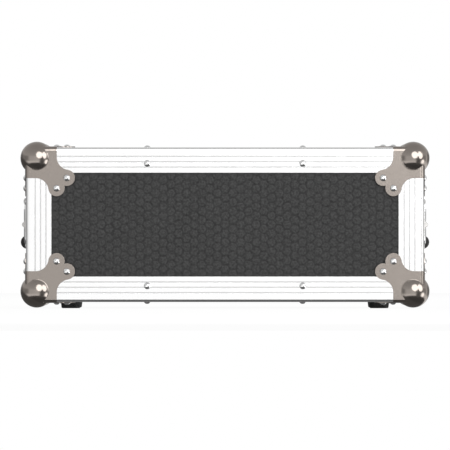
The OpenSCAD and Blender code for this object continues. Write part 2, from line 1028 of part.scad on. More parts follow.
// Keepers: a dish with a leaning bar that the hook's claw pulls on
module keepers(end) {
    lean = tan(claw_lean);
    color("#bdbbb8")
        for (side = [LEFT, RIGHT])
            at_latch(end, side) {
                difference() {
                    union() {
                        along_x(0, dish_t)
                            translate([keeper_plate_in + keeper_plate_l / 2, 0])
                                rounded_plate(keeper_plate_l, latch_dish_h, keeper_corner_r);
                        along_x(-board_t, dish_t)
                            keeper_pocket_outline(dish_t);
                    }
                    along_x(floor_out, dish_t + overrun)
                        keeper_pocket_outline(0);
                }
                translate([0, 0, -channel_half])
                    linear_extrude(height = 2 * channel_half)
                        polygon([
                            [floor_out, keeper_out - keeper_t],
                            [keeper_top_out, keeper_out - keeper_t],
                            [keeper_top_out, keeper_out],
                            [floor_out, keeper_out + lean * (keeper_top_out - floor_out)]
                        ]);
            }
}

// Latches: each piece is drawn for the rear right latch, with its axis at the origin
module at_latch_axis(end, side) {
    at_latch(end, side)
        translate([0, -latch_back, 0])
            children();
}

// A raised bead round the pocket, open where the hook passes
module latch_bead() {
    inner = latch_pocket_r + dish_bead_in;
    difference() {
        circle(inner + bead_w);
        circle(inner);
        translate([0, -channel_half - dish_bead_in])
            square([inner + bead_w + overrun, 2 * (channel_half + dish_bead_in)]);
    }
}

module latch_dishes() {
    color("#bdbbb8")
        for (end = [FRONT, REAR], side = [LEFT, RIGHT])
            at_latch(end, side)
                difference() {
                    union() {
                        along_x(0, dish_t)
                            translate([-(latch_dish_l + dish_front) / 2, 0])
                                rounded_plate(latch_dish_l - dish_front, latch_dish_h, dish_corner_r);
                        along_x(-board_t, dish_t)
                            latch_pocket_outline(dish_t);
                        along_x(0, dish_t + bead_h)
                            translate([-latch_back, 0])
                                latch_bead();
                    }
                    along_x(floor_out, dish_t + overrun)
                        latch_pocket_outline(0);
                    along_x(-board_t - overrun, floor_out + overrun)
                        translate([-latch_back, 0])
                            circle(spigot_r + pin_gap);
                }
}

module latch_hub(end, side) {
    color("#b5b3b0")
        at_latch_axis(end, side) {
            along_x(-board_t, hub_disc_out)
                circle(spigot_r);
            along_x(link_out, hub_disc_out)
                translate([-throw, 0])
                    circle(eccentric_r);
            along_x(hub_disc_out, hub_top_out)
                circle(hub_disc_r);
            for (k = [-1, 1])
                translate([0, k * (wing_pin_l - ear_t) / 2, 0])
                    along_y(-ear_t / 2, ear_t / 2) {
                        translate([wing_pin_out, 0])
                            circle(ear_r);
                        translate([hub_disc_out + hub_disc_t / 2, -ear_r])
                            square([wing_pin_out - hub_disc_out - hub_disc_t / 2, 2 * ear_r]);
                    }
            translate([wing_pin_out, 0, 0])
                rotate([90, 0, 0])
                    cylinder(r = wing_pin_r, h = wing_pin_l, center = true);
        }
}

// The eccentric runs in a cross slot of the link and so drives it along the case
module latch_link(end, side) {
    slot_u = eccentric_r + throw * drift_share + yoke_gap;
    slot_v = eccentric_r + throw + yoke_gap;
    pivot_u = latch_back - hook_back;
    ear_mid = hook_w / 2 + hook_side_gap + hook_ear_t / 2;
    color("#a9a7a4")
        at_latch_axis(end, side) {
            along_x(link_out, link_out + link_t)
                difference() {
                    union() {
                        translate([-throw - slot_u - yoke_wall, -slot_v - yoke_side])
                            square([2 * (slot_u + yoke_wall), 2 * (slot_v + yoke_side)]);
                        translate([0, -link_neck])
                            square([pivot_u + hook_eye_r, 2 * link_neck]);
                    }
                    translate([-throw - slot_u, -slot_v])
                        square([2 * slot_u, 2 * slot_v]);
                }
            for (k = [-1, 1])
                translate([0, 0, k * ear_mid - hook_ear_t / 2])
                    linear_extrude(height = hook_ear_t) {
                        translate([hook_pivot_out, pivot_u])
                            circle(hook_eye_r);
                        translate([link_out + link_t / 2, pivot_u - hook_eye_r])
                            square([hook_pivot_out - link_out - link_t / 2, 2 * hook_eye_r]);
                    }
            translate([hook_pivot_out, pivot_u, 0])
                cylinder(r = hook_pin_r, h = 2 * ear_mid + hook_ear_t, center = true);
        }
}

module latch_hook(end, side) {
    lean = tan(claw_lean);
    face_gap = claw_gap / cos(claw_lean);
    claw_depth = claw_t / cos(claw_lean);
    face_top = keeper_out + face_gap + lean * (keeper_top_out - hook_out);
    face_tip = keeper_out + face_gap + lean * (keeper_top_out - claw_tip_out);
    color("#c2c0bd")
        at_latch(end, side)
            difference() {
                union() {
                    translate([hook_pivot_out, -hook_back, 0])
                        cylinder(r = hook_eye_r, h = hook_w, center = true);
                    translate([0, 0, -hook_w / 2])
                        linear_extrude(height = hook_w)
                            polygon([
                                [hook_pivot_out, -hook_back],
                                [hook_pivot_out, -hook_back + hook_eye_r / 2],
                                [hook_out, -hook_back + hook_rise],
                                [hook_out, face_top],
                                [claw_tip_out, face_tip],
                                [claw_tip_out, face_tip + claw_depth],
                                [hook_out + hook_t, face_top + claw_depth],
                                [hook_out + hook_t, -hook_back + hook_rise],
                                [hook_pivot_out + hook_eye_r / 2, -hook_back]
                            ]);
                }
                translate([hook_pivot_out, -hook_back, 0])
                    cylinder(r = hook_pin_r + pin_gap, h = hook_w + 2 * overrun, center = true);
            }
}

// Knuckles of a wing, given as stretches along the pin, and the folded plate beside them
module wing(end, side, up, stretches) {
    color("#cfcdca")
        at_latch_axis(end, side)
            mirror([0, 0, up > 0 ? 0 : 1]) {
                for (s = stretches)
                    along_y(s[0], s[1])
                        difference() {
                            union() {
                                translate([wing_pin_out, 0])
                                    circle(ear_r);
                                polygon([
                                    [wing_pin_out + ear_r, 0],
                                    [wing_out + wing_t, wing_start + wing_t],
                                    [wing_out, wing_start + wing_t],
                                    [wing_out, wing_start],
                                    [wing_pin_out - ear_r, 0]
                                ]);
                            }
                            translate([wing_pin_out, 0])
                                circle(wing_pin_r + pin_gap);
                        }
                along_x(wing_out, wing_out + wing_t)
                    half_disc(wing_r, wing_start);
                along_x(wing_out, wing_out + wing_t + wing_bead_h)
                    difference() {
                        half_disc(wing_bead_r + bead_w, wing_start + bead_w);
                        half_disc(wing_bead_r, wing_start + 2 * bead_w);
                    }
            }
}

// The part of a disc beyond a chord, with a cut at its rim for a finger
module half_disc(r, start) {
    difference() {
        intersection() {
            circle(r);
            translate([-r, start])
                square([2 * r, r]);
        }
        translate([0, r + finger_out])
            circle(finger_r);
    }
}

// The upper wing turns on one middle knuckle and the lower wing on one at each side of it
module upper_wing(end, side) {
    reach = wing_knuckle_share * (wing_pin_l / 2 - ear_t);
    wing(end, side, 1, [[-reach, reach]]);
}

module lower_wing(end, side) {
    inner = wing_knuckle_share * (wing_pin_l / 2 - ear_t) + knuckle_gap;
    outer = wing_pin_l / 2 - ear_t - knuckle_gap;
    wing(end, side, -1, [[-outer, -inner], [inner, outer]]);
}

flat_board(1);  // top_panel
flat_board(-1);  // bottom_panel
side_board(LEFT);  // left_side_panel
side_board(RIGHT);  // right_side_panel
body_edge_angles();
tongue_frame(FRONT);  // front_tongue_frame
tongue_frame(REAR);  // rear_tongue_frame
corner_clamps();
rack_rail(FRONT, LEFT);  // front_left_rail
rack_rail(FRONT, RIGHT);  // front_right_rail
rack_rail(REAR, LEFT);  // rear_left_rail
rack_rail(REAR, RIGHT);  // rear_right_rail
rail_screws();
rubber_feet();
foot_screws();
body_rivets();
latch_dishes();
handle_dish(LEFT);  // left_handle_dish
handle_dish(RIGHT);  // right_handle_dish
handle_pins();
handle_springs();
handle_bail(LEFT);  // left_handle_bail
handle_grip(LEFT);  // left_handle_grip
handle_bail(RIGHT);  // right_handle_bail
handle_grip(RIGHT);  // right_handle_grip
cover_panel(FRONT);  // front_cover_panel
cover_boards(FRONT);  // front_cover_boards
cover_angles(FRONT);  // front_cover_angles
groove_frame(FRONT);  // front_groove_frame
ball_corners(FRONT);  // front_ball_corners
cover_rivets(FRONT);  // front_cover_rivets
keepers(FRONT);  // front_keepers
cover_panel(REAR);  // rear_cover_panel
cover_boards(REAR);  // rear_cover_boards
cover_angles(REAR);  // rear_cover_angles
groove_frame(REAR);  // rear_groove_frame
ball_corners(REAR);  // rear_ball_corners
cover_rivets(REAR);  // rear_cover_rivets
keepers(REAR);  // rear_keepers
latch_hub(FRONT, LEFT);  // front_left_latch_hub
latch_link(FRONT, LEFT);  // front_left_latch_link
latch_hook(FRONT, LEFT);  // front_left_latch_hook
upper_wing(FRONT, LEFT);  // front_left_upper_wing
lower_wing(FRONT, LEFT);  // front_left_lower_wing
latch_hub(FRONT, RIGHT);  // front_right_latch_hub
latch_link(FRONT, RIGHT);  // front_right_latch_link
latch_hook(FRONT, RIGHT);  // front_right_latch_hook
upper_wing(FRONT, RIGHT);  // front_right_upper_wing
lower_wing(FRONT, RIGHT);  // front_right_lower_wing
latch_hub(REAR, LEFT);  // rear_left_latch_hub
latch_link(REAR, LEFT);  // rear_left_latch_link
latch_hook(REAR, LEFT);  // rear_left_latch_hook
upper_wing(REAR, LEFT);  // rear_left_upper_wing
lower_wing(REAR, LEFT);  // rear_left_lower_wing
latch_hub(REAR, RIGHT);  // rear_right_latch_hub
latch_link(REAR, RIGHT);  // rear_right_latch_link
latch_hook(REAR, RIGHT);  // rear_right_latch_hook
upper_wing(REAR, RIGHT);  // rear_right_upper_wing
lower_wing(REAR, RIGHT);  // rear_right_lower_wing
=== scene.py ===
"""Rack case: the finishes, the boards' raised pattern, the balls' fillets, the studio and the camera"""
import math

import bmesh
import bpy
from mathutils import Matrix, Vector


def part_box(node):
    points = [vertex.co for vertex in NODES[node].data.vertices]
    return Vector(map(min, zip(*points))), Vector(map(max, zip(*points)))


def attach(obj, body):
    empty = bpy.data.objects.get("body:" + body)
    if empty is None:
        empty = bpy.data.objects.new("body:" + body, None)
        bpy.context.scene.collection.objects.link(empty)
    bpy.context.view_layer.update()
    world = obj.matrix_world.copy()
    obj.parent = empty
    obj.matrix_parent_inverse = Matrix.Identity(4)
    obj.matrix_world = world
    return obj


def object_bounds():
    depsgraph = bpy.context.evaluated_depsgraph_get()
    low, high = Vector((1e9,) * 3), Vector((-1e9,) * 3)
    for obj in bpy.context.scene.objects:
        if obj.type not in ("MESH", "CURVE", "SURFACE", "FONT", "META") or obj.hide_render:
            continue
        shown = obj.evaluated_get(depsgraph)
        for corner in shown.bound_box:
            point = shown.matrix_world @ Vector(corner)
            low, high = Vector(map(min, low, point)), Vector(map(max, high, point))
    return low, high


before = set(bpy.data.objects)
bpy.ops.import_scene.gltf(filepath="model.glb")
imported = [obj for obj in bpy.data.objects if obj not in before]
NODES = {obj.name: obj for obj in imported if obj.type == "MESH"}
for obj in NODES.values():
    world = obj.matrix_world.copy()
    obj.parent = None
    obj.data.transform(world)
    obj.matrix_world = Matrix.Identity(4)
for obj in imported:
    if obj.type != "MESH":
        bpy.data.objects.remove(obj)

MM = 0.001
CAD_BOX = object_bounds()

# Places on the case, from the frame
BOARD_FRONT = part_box("front_cover_panel")[0].y
BOARD_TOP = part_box("top_panel")[1].z
BOARD_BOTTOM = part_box("bottom_panel")[0].z
BOARD_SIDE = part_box("right_side_panel")[1].x
ANGLES_LOW, ANGLES_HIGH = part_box("front_cover_angles")
MID_Z = (ANGLES_LOW.z + ANGLES_HIGH.z) / 2
HALF_W = ANGLES_HIGH.x
HALF_H = ANGLES_HIGH.z - MID_Z
FACE_Y = ANGLES_LOW.y

# Sizes as in the part's source: the angles' legs, the joint frames' flanges, and half the body's depth
ANGLE_LEG = 32.7 * MM
FLANGE_W = 16 * MM
SPLIT_Y = 190 * MM

WHITE = (1.0, 1.0, 1.0, 1.0)
BEVEL_SAMPLES = 4


class Value:
    """A shader socket that works in sums: each operator adds a Math node to the tree"""

    def __init__(self, tree, socket):
        self.tree = tree
        self.socket = socket

    def _math(self, operation, *terms):
        node = self.tree.nodes.new("ShaderNodeMath")
        node.operation = operation
        for place, term in enumerate(terms):
            plug(self.tree, node.inputs[place], term)
        return Value(self.tree, node.outputs[0])

    def __add__(self, other):
        return self._math("ADD", self, other)

    def __sub__(self, other):
        return self._math("SUBTRACT", self, other)

    def __mul__(self, other):
        return self._math("MULTIPLY", self, other)

    def __truediv__(self, other):
        return self._math("DIVIDE", self, other)

    def __rsub__(self, other):
        return self._math("SUBTRACT", other, self)

    def __abs__(self):
        return self._math("ABSOLUTE", self)

    def angle(self, other):
        """The angle, in radians, of a direction with this part along it and the other part across it"""
        return self._math("ARCTAN2", other, self)

    def above(self, other):
        """1 where this value is greater than the other, and 0 elsewhere"""
        return self._math("GREATER_THAN", self, other)

    def least(self, other):
        """The smaller of two values"""
        return self._math("MINIMUM", self, other)

    def most(self, other):
        """The greater of two values"""
        return self._math("MAXIMUM", self, other)

    __radd__ = __add__
    __rmul__ = __mul__


def plug(tree, socket, value):
    """Gives a socket a number, a colour or another node's output"""
    if isinstance(value, Value):
        tree.links.new(value.socket, socket)
    else:
        socket.default_value = value


class Tree:
    """A node tree with one way to add any node"""

    def __init__(self, tree):
        self.tree = tree

    def _node(self, kind, settings=None, **inputs):
        """Adds a node: its settings, then its sockets, named with _ for a space or by in_ and a number"""
        node = self.tree.nodes.new("ShaderNode" + kind)
        for name, value in (settings or {}).items():
            setattr(node, name, value)
        for name, value in inputs.items():
            key = int(name.removeprefix("in_")) if name.startswith("in_") else name.replace("_", " ")
            plug(self.tree, node.inputs[key], value)
        return node

    def add(self, kind, settings=None, output=0, **inputs):
        """Adds a node and gives back one of its outputs"""
        return Value(self.tree, self._node(kind, settings, **inputs).outputs[output])

    def place(self):
        """Where a point is on the object, in metres"""
        return self.add("TexCoord", output="Object")

    def split(self, vector):
        """The three parts of a vector"""
        node = self._node("SeparateXYZ", Vector=vector)
        return [Value(self.tree, socket) for socket in node.outputs]

    def noise(self, scale, detail=2.0, roughness=0.5, stretch=(1, 1, 1)):
        """Soft noise, about 0.5 in the middle: the scale is in patches a metre, and stretch is what each
        axis is multiplied by, so that less than 1 draws the patches out along it"""
        where = self.add("VectorMath", {"operation": "MULTIPLY"}, in_0=self.place(), in_1=stretch)
        return self.add("TexNoise", Vector=where, Scale=scale, Detail=detail, Roughness=roughness)

    def ramp(self, value, *stops):
        """A value led through a ramp of (place, level) stops"""
        node = self._node("ValToRGB", Fac=value)
        elements = node.color_ramp.elements
        while len(elements) < len(stops):
            elements.new(1.0)
        for element, (place, level) in zip(elements, stops):
            element.position = place
            element.color = grey(level)
        return Value(self.tree, node.outputs["Color"])

    def patches(self, scale, none_at, full_at, **noise):
        """Patches of noise: none where it is at or under one value, full where it is at or over another"""
        return self.ramp(self.noise(scale, **noise), (none_at, 0), (full_at, 1))

    def mix(self, share, first, second):
        """The first colour where share is 0, the second where it is 1. A Mix node takes its colours on its
        sockets 6 and 7, and gives the mixed one on 2"""
        return self.add("Mix", {"data_type": "RGBA"}, output=2, in_0=share, in_6=first, in_7=second)


class Finish(Tree):
    """A material: its Principled shader and the nodes that lead to it"""

    def __init__(self, name, colour, **even):
        self.material = bpy.data.materials.new(name)
        self.material.use_nodes = True
        self.material.diffuse_color = colour
        super().__init__(self.material.node_tree)
        self.shader = self.tree.nodes["Principled BSDF"]
        self.colour = colour
        self.set(Base_Color=colour, **even)

    def set(self, **inputs):
        """Sets sockets of the shader"""
        for name, value in inputs.items():
            plug(self.tree, self.shader.inputs[name.replace("_", " ")], value)

    def bump(self, height, distance, strength=1.0, edge=0.0):
        """Leads a height map, and edges rounded to a radius, to the shader's normal"""
        inputs = {"Height": height, "Distance": distance, "Strength": strength}
        if edge:
            inputs["Normal"] = self.add("Bevel", {"samples": BEVEL_SAMPLES}, Radius=edge)
        self.set(Normal=self.add("Bump", **inputs))


def grey(level, warmth=0.0):
    """An even grey, a little warmer or cooler"""
    return (level * (1 + warmth), level, level * (1 - warmth), 1.0)


# The laminate's shades, as times of its even level, what share of them each mark has, and its surface
LAMINATE_DARK = 0.15
LAMINATE_PALE = 1.85
LAMINATE_SCUFFED = 2.1
GRAIN_SHARE = 0.2
BLOTCH_SHARE = 0.6
CLOUD_SHARE = 0.2
SCUFF_SHARE = 0.25
LAMINATE_ROUGHNESS = 0.5
GRAIN_ROUGHENS = 0.12
SCUFFS_ROUGHEN = 0.12
GRAIN_HIGH = 0.4


def laminate(name, level):
    """The boards' dark laminate: fine grain, soft blotches, faint scuffs"""
    finish = Finish(name, grey(level), Specular_IOR_Level=0.3)
    dark, pale, scuffed = (grey(level * times) for times in (LAMINATE_DARK, LAMINATE_PALE, LAMINATE_SCUFFED))
    grain = finish.noise(scale=2600, detail=3, roughness=0.6)
    blotch = finish.patches(scale=360, none_at=0.34, full_at=0.66, detail=3, roughness=0.65)
    cloud = finish.noise(scale=38, detail=4, roughness=0.55)
    scuffs = finish.patches(scale=120, none_at=0.62, full_at=0.8, detail=6, roughness=0.7,
                            stretch=(1, 1, 0.3))
    marks = grain * GRAIN_SHARE + blotch * BLOTCH_SHARE + cloud * CLOUD_SHARE
    finish.set(Base_Color=finish.mix(scuffs * SCUFF_SHARE, finish.mix(marks, dark, pale), scuffed))
    finish.set(Roughness=LAMINATE_ROUGHNESS + grain * GRAIN_ROUGHENS + scuffs * SCUFFS_ROUGHEN)
    finish.bump(height=grain * GRAIN_HIGH + blotch, distance=0.12 * MM, strength=0.6)
    return finish.material


# How far each mark on metal changes its colour and its roughness
PATCHES_DULL = 0.6
STREAKS_DULL = 0.3
STREAKS_ROUGHEN = 0.08
HAZE_ROUGHENS = 0.05
PATCHES_ROUGHEN = 0.06
CLEAN_METAL_SMOOTHER = 0.06
METAL_BUMP_STRENGTH = 0.5


def darker(colour, share):
    """A colour with a share of its level left"""
    return tuple(part * share for part in colour[:3]) + (1.0,)


def finish_metal(finish, roughness, edge, streaks, wear, grain, painted_shade=None):
    """Leads a metal's streaks, haze, duller patches and painted shade in its sunk places to its shader"""
    haze = finish.noise(scale=24, detail=3, roughness=0.6)
    patches = finish.patches(scale=70, none_at=0.5, full_at=0.72, detail=5, roughness=0.65)
    marks = patches * PATCHES_DULL + streaks * STREAKS_DULL
    shade = finish.mix(marks, finish.colour, darker(finish.colour, 1 - wear))
    # Painted shade: sunk metal gets a darker base colour that stands in for the shade in its recesses
    if painted_shade:
        shade = finish.mix(painted_shade, shade, darker(finish.colour, PAINTED_SHADE_LEVEL))
    finish.set(Base_Color=shade)
    rough = streaks * STREAKS_ROUGHEN + haze * HAZE_ROUGHENS + patches * PATCHES_ROUGHEN
    finish.set(Roughness=rough + (roughness - CLEAN_METAL_SMOOTHER))
    finish.bump(streaks, grain, METAL_BUMP_STRENGTH, edge)


def bare_metal(name, colour, roughness, edge, wear, stretch=(1, 1, 1)):
    """Bare metal: fine marks, a cloudy haze, duller patches and rounded edges"""
    finish = Finish(name, colour, Metallic=1.0)
    marks = finish.noise(scale=420, detail=4, roughness=0.65, stretch=stretch)
    finish_metal(finish, roughness, edge, marks, wear, grain=0.02 * MM)
    return finish.material


# Drawn metal: how far its lines are drawn out, how strong they are, and the painted shade, a darker colour,
# on metal sunk under its face
DRAWN_OUT = 0.998
LINES_STRENGTH = 0.5
DRAWN_WEAR = 0.04
DRAWN_GRAIN = 0.0006 * MM
CHANNEL_DEPTH = 1.0 * MM
SHADE_FROM_EDGE = 8 * MM
PAINTED_SHADE_LEVEL = 0.68


def drawn_metal(name, colour, roughness, edge, cover_frame_from):
    """Extruded metal: fine lines along each length, which runs across or up the case's ends from a place on,
    and from back to front before it"""
    finish = Finish(name, colour, Metallic=1.0)
    x, y, z = finish.split(finish.place())
    in_frame = abs(y).above(cover_frame_from)
    upright = in_frame * (abs(x) - abs(z - MID_Z)).above(HALF_W - HALF_H)
    across = in_frame - upright
    stretch = finish.add("CombineXYZ", X=1 - across * DRAWN_OUT, Y=1 - (1 - in_frame) * DRAWN_OUT,
                         Z=1 - upright * DRAWN_OUT)
    lines = finish.noise(scale=1600, detail=3, stretch=stretch) * LINES_STRENGTH + (1 - LINES_STRENGTH) / 2
    # The channels' sunk metal gets painted shade, a darker base colour in place of the shade that falls
    # there
    finish_metal(finish, roughness, edge, lines, DRAWN_WEAR, DRAWN_GRAIN, sunk_metal(x, y, z))
    return finish.material


def sunk_metal(x, y, z):
    """1 on metal under the case's outer face, as the angles' channels are, well in from its other faces:
    where painted shade darkens it
    """
    under = (HALF_W - abs(x), -FACE_Y - abs(y), HALF_H - abs(z - MID_Z))
    shallow = under[0].least(under[1])
    deep = under[0].most(under[1])
    nearest = shallow.least(under[2])
    second = shallow.most(deep.least(under[2]))
    return nearest.above(CHANNEL_DEPTH / 2) * second.above(SHADE_FROM_EDGE)


# Rubber: the rubbed shade as times of its level, what share of it each mark has, and the surface
RUBBED_LEVEL = 2.2
RUBBED_SHARE = 0.5
SKIN_SHARE = 0.2
RUBBER_ROUGHNESS = 0.48
RUBBED_ROUGHENS = 0.14
SKIN_ROUGHENS = 0.1


def rubber(name, level):
    """Moulded rubber: fine pebbled skin with paler rubbed patches"""
    finish = Finish(name, grey(level), Specular_IOR_Level=0.35)
    skin = finish.noise(scale=1500, detail=2, roughness=0.5)
    rubbed = finish.patches(scale=90, none_at=0.5, full_at=0.75, detail=5, roughness=0.65)
    marks = rubbed * RUBBED_SHARE + skin * SKIN_SHARE
    finish.set(Base_Color=finish.mix(marks, grey(level), grey(level * RUBBED_LEVEL)))
    finish.set(Roughness=RUBBER_ROUGHNESS + rubbed * RUBBED_ROUGHENS + skin * SKIN_ROUGHENS)
    finish.bump(skin, distance=0.08 * MM, strength=0.7, edge=0.5 * MM)
    return finish.material


ALUMINIUM = grey(0.96)
FRAME_ALUMINIUM = grey(0.9)
NICKEL = (0.333, 0.296, 0.268, 1.0)
ZINC = grey(0.5, warmth=0.01)
STEEL = grey(0.56, warmth=0.02)
BRIGHT = grey(0.85)

FINISHES = {
    # Both laminates are one material: the boards', seen in the gaps between the raised cells, is set darker
    # as painted shade in those gaps
    "cell_laminate": laminate("cell_laminate", level=0.029),
    "shaded_board_laminate": laminate("shaded_board_laminate", level=0.019),
    "angle_aluminium": drawn_metal("angle_aluminium", ALUMINIUM, roughness=0.12, edge=0.3 * MM,
                                   cover_frame_from=-FACE_Y - ANGLE_LEG),
    "frame_aluminium": drawn_metal("frame_aluminium", FRAME_ALUMINIUM, roughness=0.24, edge=0.4 * MM,
                                   cover_frame_from=0.0),
    "corner_nickel": bare_metal("corner_nickel", NICKEL, roughness=0.14, edge=0.3 * MM, wear=0.14),
    "clamp_steel": bare_metal("clamp_steel", NICKEL, roughness=0.24, edge=0.5 * MM, wear=0.14),
    "dish_steel": bare_metal("dish_steel", ZINC, roughness=0.26, edge=0.5 * MM, wear=0.16),
    "latch_steel": bare_metal("latch_steel", STEEL, roughness=0.22, edge=0.3 * MM, wear=0.14),
    "bail_steel": bare_metal("bail_steel", BRIGHT, roughness=0.24, edge=0.3 * MM, wear=0.16),
    "rivet_steel": bare_metal("rivet_steel", BRIGHT, roughness=0.16, edge=0.3 * MM, wear=0.08),
    "rail_steel": bare_metal("rail_steel", ZINC, roughness=0.32, edge=0.3 * MM, wear=0.1,
                             stretch=(4, 4, 0.3)),
    "screw_steel": bare_metal("screw_steel", STEEL, roughness=0.28, edge=0.2 * MM, wear=0.1),
    "foot_rubber": rubber("foot_rubber", level=0.018),
    "grip_rubber": rubber("grip_rubber", level=0.014),
}

NODE_FINISHES = {
    "shaded_board_laminate": ("top_panel", "bottom_panel", "left_side_panel", "right_side_panel",
                       "front_cover_panel", "rear_cover_panel", "front_cover_boards", "rear_cover_boards"),
    "angle_aluminium": ("body_edge_angles", "front_cover_angles", "rear_cover_angles"),
    "frame_aluminium": ("front_tongue_frame", "rear_tongue_frame",
                        "front_groove_frame", "rear_groove_frame"),
    "corner_nickel": ("front_ball_corners", "rear_ball_corners"),
    "clamp_steel": ("corner_clamps", "front_keepers", "rear_keepers"),
    "dish_steel": ("latch_dishes", "left_handle_dish", "right_handle_dish"),
    "bail_steel": ("left_handle_bail", "right_handle_bail", "handle_pins", "handle_springs"),
    "rivet_steel": ("body_rivets", "front_cover_rivets", "rear_cover_rivets"),
    "rail_steel": ("front_left_rail", "front_right_rail", "rear_left_rail", "rear_right_rail"),
    "screw_steel": ("rail_screws", "foot_screws"),
    "foot_rubber": ("rubber_feet",),
    "grip_rubber": ("left_handle_grip", "right_handle_grip"),
}


def finish_nodes():
    """Gives every carried-over node its finish; what isn't listed belongs to a latch"""
    finish_of = {node: finish for finish, nodes in NODE_FINISHES.items() for node in nodes}
    for name, node in NODES.items():
        material = FINISHES[finish_of.get(name, "latch_steel")]
        for slot in node.material_slots:
            slot.material = material


# Raised cells of the boards' pattern: the shoulders are shares of a cell's width at shares of its height
CELL_PITCH = 11.5 * MM
CELL_COLUMN = CELL_PITCH * math.sqrt(3) / 2
CELL_GAP = 1.9 * MM
CELL_HIGH = 0.3 * MM
CELL_SUNK = 0.3 * MM
CELL_SIDES = 6
CELL_ROUNDING_SHARE = 0.16
CELL_SHOULDER_SHARES = ((1.0, 0.0), (0.94, 0.62), (0.84, 0.92), (0.72, 1.0))
CELL_REACH = CELL_PITCH / 2

# How far a cell runs on under the edge of a plate
UNDER_EDGE = 1.0 * MM


def cell_ring(radius):
    """A cell's outline: a hexagon with a flat top, and each corner cut off short"""
    angles = [math.tau * turn / CELL_SIDES for turn in range(CELL_SIDES)]
    corners = [Vector((math.cos(angle), math.sin(angle))) * radius for angle in angles]
    ring = []
    for turn, corner in enumerate(corners):
        ring.append(corner.lerp(corners[turn - 1], CELL_ROUNDING_SHARE))
        ring.append(corner.lerp(corners[(turn + 1) % CELL_SIDES], CELL_ROUNDING_SHARE))
    return ring


def add_cell(mesh, across, up):
    """One raised cell with soft shoulders and a closed base, in the board's own plane; returns its parts"""
    radius = (CELL_PITCH - CELL_GAP) / math.sqrt(3)
    levels = [(1.0, -CELL_SUNK)]
    levels += [(share, CELL_HIGH * rise) for share, rise in CELL_SHOULDER_SHARES]
    rings = [[mesh.verts.new((across + point.x, up + point.y, high)) for point in cell_ring(radius * share)]
             for share, high in levels]
    faces = [mesh.faces.new(reversed(rings[0])), mesh.faces.new(rings[-1])]
    for low, high in zip(rings, rings[1:]):
        for turn in range(len(low)):
            after = (turn + 1) % len(low)
            faces.append(mesh.faces.new((low[turn], low[after], high[after], high[turn])))
    parts = set(faces)
    for face in faces:
        parts.update(face.edges)
        parts.update(face.verts)
    return list(parts)


def cut_cell(mesh, parts, place, beyond):
    """Cuts a cell off beyond a line and closes it again; returns what is left of it"""
    cut = bmesh.ops.bisect_plane(mesh, geom=parts, plane_co=place, plane_no=beyond, clear_outer=True)
    edges = [part for part in cut["geom_cut"] if isinstance(part, bmesh.types.BMEdge)]
    filled = bmesh.ops.edgeloop_fill(mesh, edges=edges)
    return [part for part in cut["geom"] if part.is_valid] + filled["faces"]


def cell_centres(half_across, half_up):
    """Where the cells of a board stand, with one at its centre"""
    columns = math.ceil(half_across / CELL_COLUMN) + 1
    rows = math.ceil(half_up / CELL_PITCH) + 1
    for i in range(-columns, columns + 1):
        for j in range(-rows, rows + 1):
            yield i * CELL_COLUMN, (j + (i % 2) / 2) * CELL_PITCH


def window_cuts(u, v, half_across, half_up):
    """The lines that a cell is cut at by the metal round its board, or None where it is hidden"""
    cuts = []
    for place, half, axis in ((u, half_across, Vector((1, 0, 0))), (v, half_up, Vector((0, 1, 0)))):
        if abs(place) > half + CELL_REACH:
            return None
        if abs(place) > half - CELL_REACH:
            side = math.copysign(1, place)
            cuts.append((axis * side * half, axis * side))
    return cuts


def plate_cuts(u, v, plate):
    """The lines that a cell is cut at by a plate on the board, or None where the plate hides it"""
    centre_u, centre_v, half_u, half_v = plate
    beyond_u = abs(u - centre_u) - half_u + UNDER_EDGE
    beyond_v = abs(v - centre_v) - half_v + UNDER_EDGE
    if max(beyond_u, beyond_v) < -CELL_REACH:
        return None
    if max(beyond_u, beyond_v) > CELL_REACH:
        return []
    if beyond_u > beyond_v:
        side = math.copysign(1, u - centre_u)
        return [(Vector((centre_u + side * (half_u - UNDER_EDGE), 0, 0)), Vector((-side, 0, 0)))]
    side = math.copysign(1, v - centre_v)
    return [(Vector((0, centre_v + side * (half_v - UNDER_EDGE), 0)), Vector((0, -side, 0)))]


def raised_cells(name, body, centre, across, up, half_across, half_up, plates=()):
    """The raised pattern on one board's visible face, cut at the metal round it and at the plates on it"""
    mesh = bmesh.new()
    for u, v in cell_centres(half_across, half_up):
        cuts = [window_cuts(u, v, half_across, half_up)]
        cuts += [plate_cuts(u, v, plate) for plate in plates]
        if None in cuts:
            continue
        parts = add_cell(mesh, u, v)
        for place, beyond in sum(cuts, []):
            parts = cut_cell(mesh, parts, place, beyond)
    outward = across.cross(up)
    turn = Matrix((across, up, outward)).transposed().to_4x4()
    mesh.transform(Matrix.Translation(centre) @ turn)
    return as_piece(name, body, mesh, "cell_laminate")


def as_piece(name, body, mesh, finish):
    """Turns a built mesh into a piece that rides a body"""
    data = bpy.data.meshes.new(name)
    mesh.to_mesh(data)
    mesh.free()
    data.materials.append(FINISHES[finish])
    piece = bpy.data.objects.new(name, data)
    bpy.context.scene.collection.objects.link(piece)
    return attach(piece, body)


# The case's axes, its middle, and half the size of the window that the angles leave in its ends
AXES = (Vector((1, 0, 0)), Vector((0, 1, 0)), Vector((0, 0, 1)))
MIDDLE = Vector((0, 0, MID_Z))
HALF_WINDOW_W = HALF_W - ANGLE_LEG
HALF_WINDOW_H = HALF_H - ANGLE_LEG


def plate_on_side(low, high):
    """A plate on a side board as the board sees it: centre and half sizes along the case and up it"""
    middle = (low + high) / 2
    half = (high - low) / 2
    return middle.y, middle.z - MID_Z, half.y, half.z


